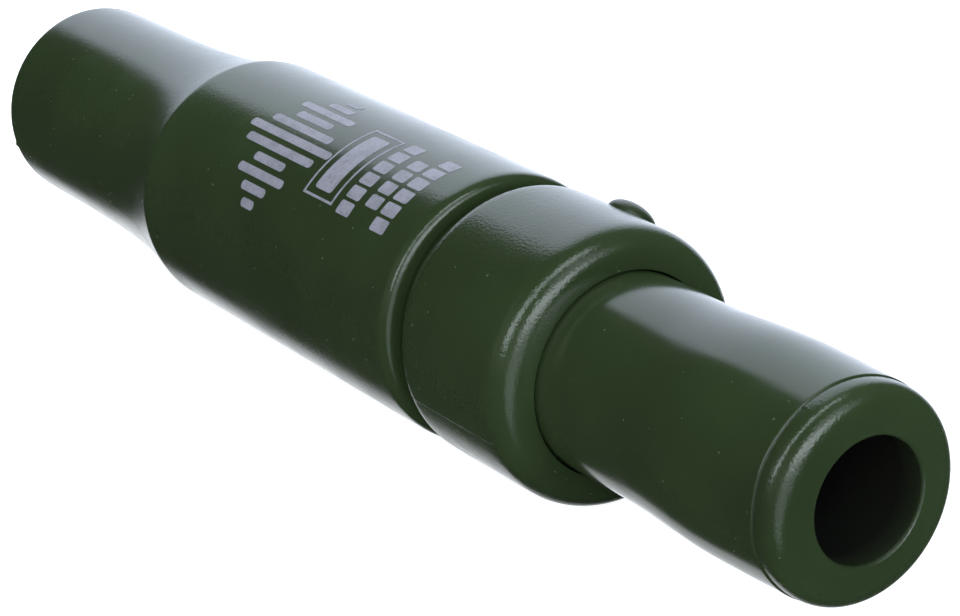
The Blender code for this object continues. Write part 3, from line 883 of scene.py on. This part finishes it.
def make_camera():
    """The camera, placed from the middle of the lip."""
    heading = Vector((*VIEW_SIDE, 0)).normalized()
    ahead = heading * math.cos(VIEW_PITCH) - UP * math.sin(VIEW_PITCH)
    right = ahead.cross(UP).normalized()
    over = right.cross(ahead)
    data = bpy.data.cameras.new("camera")
    data.lens = FOCAL
    data.sensor_width = 36
    data.clip_start, data.clip_end = 0.01, 20
    camera = bpy.data.objects.new("camera", data)
    bpy.context.scene.collection.objects.link(camera)
    steps = zip(CAMERA_OFFSET, (right, over, ahead))
    location = LIP - sum((way * k for k, way in steps), Vector()) * CALL_RADIUS
    turn = Matrix((right, over, -ahead)).transposed().to_4x4()
    camera.matrix_world = Matrix.Translation(location) @ turn
    bpy.context.scene.camera = camera


def make_world():
    """A bright bluish backdrop beyond the horn, a wide soft strip of light, and a dim room."""
    world = bpy.data.worlds.new("studio")
    bpy.context.scene.world = world
    world.use_nodes = True
    tree = world.node_tree
    background = tree.nodes["Background"]
    path = node(tree, "LightPath")
    way = node(tree, "TexCoord").outputs["Generated"]
    x, y, z = node(tree, "SeparateXYZ", {0: way}).outputs[:3]

    def product(*shares):
        total = shares[0]
        for share in shares[1:]:
            total = maths(tree, "MULTIPLY", total, share)
        return total

    edge = maths(tree, "MULTIPLY_ADD", ramp(tree, z, -0.15, 0.0, 1.0, 0.0), -0.06, y)
    backdrop = product(
        ramp(tree, edge, -0.03, 0.10),
        ramp(tree, x, -0.68, -0.20, 1.0, 0.0),
        ramp(tree, z, -0.62, -0.35, 0.42, 1.0),
        ramp(tree, x, -0.92, -0.68, 0.86, 1.3),
    )
    overhead = product(ramp(tree, y, -0.3, 0.2), ramp(tree, z, 0.2, 0.7), OVERHEAD_LEVEL)
    room = product(
        ramp(tree, y, -0.6, -0.3, 1.0, 0.0),
        ramp(tree, x, -0.68, -0.45),
        ramp(tree, z, -0.15, 0.1),
        ramp(tree, z, 0.45, 0.8, ROOM_LEVEL, 0.0),
    )

    normal = Vector(STRIP_NORMAL).normalized()
    off = node(tree, "VectorMath", {0: way, 1: normal}, operation="DOT_PRODUCT").outputs["Value"]
    off = maths(tree, "ABSOLUTE", maths(tree, "ADD", off, 0.05))
    strip = product(
        ramp(tree, off, 0.18, 0.42, 1.0, 0.0),
        ramp(tree, x, 0.5, 0.7),
        ramp(tree, z, 0.05, 0.38, 0.22, 1.0),
        ramp(tree, z, 0.48, 0.62, 1.0, 0.25),
        maths(tree, "SUBTRACT", 1.0, path.outputs["Is Diffuse Ray"]),
    )

    hue = mixed(tree, ramp(tree, z, -0.5, 0.0), BACKDROP_LOW, BACKDROP_HIGH)
    total = mixed(tree, backdrop, AMBIENT, hue)
    for share, colour in ((overhead, (1, 1, 1)), (room, (1, 1, 1)), (strip, STRIP_GLOW)):
        adding = {0: share, 6: total, 7: (*colour, 1)}
        total = node(tree, "Mix", adding, data_type="RGBA", blend_type="ADD").outputs[2]
    total = mixed(tree, path.outputs["Is Camera Ray"], total, (1.0, 1.0, 1.0))
    tree.links.new(total, background.inputs["Color"])


def make_ribbon():
    """A narrow curved lamp near the camera side, in three lengths, which only the gloss mirrors."""
    start, middle, end = (Vector(p) for p in RIBBON)
    centre = Vector((0.045, 0, CALL_RADIUS))
    material = bpy.data.materials.new("ribbon_light")
    material.use_nodes = True
    tree = material.node_tree
    tree.nodes.clear()
    colour, strength = RIBBON_GLOW
    glow = node(tree, "Emission", {"Color": (*colour, 1.0), "Strength": strength})
    output = tree.nodes.new("ShaderNodeOutputMaterial")
    tree.links.new(glow.outputs[0], output.inputs["Surface"])
    for index, (low, high) in enumerate(RIBBON_LENGTHS):
        bm = bmesh.new()
        rows = []
        steps = 24
        for i in range(steps + 1):
            t = low + (high - low) * i / steps
            weights = (2 * (t - 0.5) * (t - 1), 4 * t * (1 - t), 2 * t * (t - 0.5))
            slopes = (4 * t - 3, 4 - 8 * t, 4 * t - 1)
            point = sum((p * w for p, w in zip((start, middle, end), weights)), Vector())
            along = sum((p * w for p, w in zip((start, middle, end), slopes)), Vector())
            across = along.cross(centre - point).normalized() * RIBBON_WIDTH / 2
            rows.append([bm.verts.new(point + across), bm.verts.new(point - across)])
        for near, far in zip(rows, rows[1:]):
            bm.faces.new((near[0], near[1], far[1], far[0]))
        ribbon = made(f"ribbon_light_{index}", bm)
        ribbon.data.materials.append(material)
        ribbon.visible_camera = ribbon.visible_diffuse = False
        ribbon.visible_shadow = ribbon.visible_transmission = False


def make_floor():
    """A pale plain floor, just under the call, that no gloss mirrors."""
    bm = bmesh.new()
    bmesh.ops.create_grid(bm, x_segments=2, y_segments=2, size=4.0)
    bmesh.ops.translate(bm, verts=bm.verts, vec=(0, 0, LOW.z - 0.05 * MM))
    floor = made("floor", bm)
    material, tree, shader, where = new_material("floor", FLOOR_TONES[0], 0.8)
    tone = mixed(tree, noise(tree, where, 3.0, 2.0), *FLOOR_TONES)
    set_inputs(tree, shader, Base_Color=tone, Roughness=0.9)
    seen = node(tree, "LightPath").outputs["Is Camera Ray"]
    shader.inputs["Emission Color"].default_value = (0.98, 0.99, 1.0, 1)
    tree.links.new(maths(tree, "MULTIPLY", seen, FLOOR_GLOW), shader.inputs["Emission Strength"])
    floor.data.materials.append(material)
    floor.visible_glossy = False


def make_light(name, location, size, power, colour):
    """A soft square light aimed at the middle of the call, which no gloss mirrors."""
    data = bpy.data.lights.new(name, "AREA")
    data.size = size
    data.energy = power
    data.color = colour
    light = bpy.data.objects.new(name, data)
    bpy.context.scene.collection.objects.link(light)
    light.location = location
    aim = Vector((0, 0, CALL_RADIUS)) - light.location
    light.rotation_euler = aim.to_track_quat("-Z", "Y").to_euler()
    light.visible_glossy = False
    light.visible_camera = False


def make_studio():
    make_world()
    make_floor()
    make_ribbon()
    make_light("top_light", Vector((0.05, 0.1, 1.1)), 0.9, 6.0, WARM_WHITE)
    make_light("fill_light", Vector((0.9, -0.9, 0.5)), 0.9, 4.0, WARM_WHITE)
    make_camera()
    bpy.context.scene.view_settings.view_transform = "Standard"


# ---------------------------------------------------------------- the call

def main():
    olive = moulded_plastic("barrel_plastic_finish", OLIVE, 0.18, grain=0.55)
    head_olive = moulded_plastic("head_plastic_finish", OLIVE, 0.17, grain=0.95)
    mouth_olive = moulded_plastic("mouthpiece_plastic_finish", OLIVE, 0.17, lip=LIP.x)
    button_olive = moulded_plastic("button_plastic_finish", tuple(c * 0.92 for c in OLIVE), 0.3)
    board_plastic = moulded_plastic("board_plastic_finish", BLACK_PLASTIC, 0.36, specks=0.3)
    black_rubber = rubber("seal_rubber_finish", 0.014, 0.55, 0.02)
    pad_rubber = rubber("pad_rubber_finish", 0.035, 0.7, 0.03)
    spring_steel = steel("spring_steel_finish", 0.6, 0.2, 0)
    clip_steel = steel("clip_steel_finish", 0.4, 0.3, 0)

    make_shells(olive, head_olive, mouth_olive)
    make_carrier(head_olive)
    make_button(button_olive, pad_rubber, clip_steel)
    make_seals(black_rubber)
    make_spring(spring_steel)
    make_board_and_wedge(board_plastic, cork("wedge_cork_finish"))
    make_reed(reed_film("reed_film_finish"))
    make_print(printed_ink("print_ink"))
    make_studio()


main()
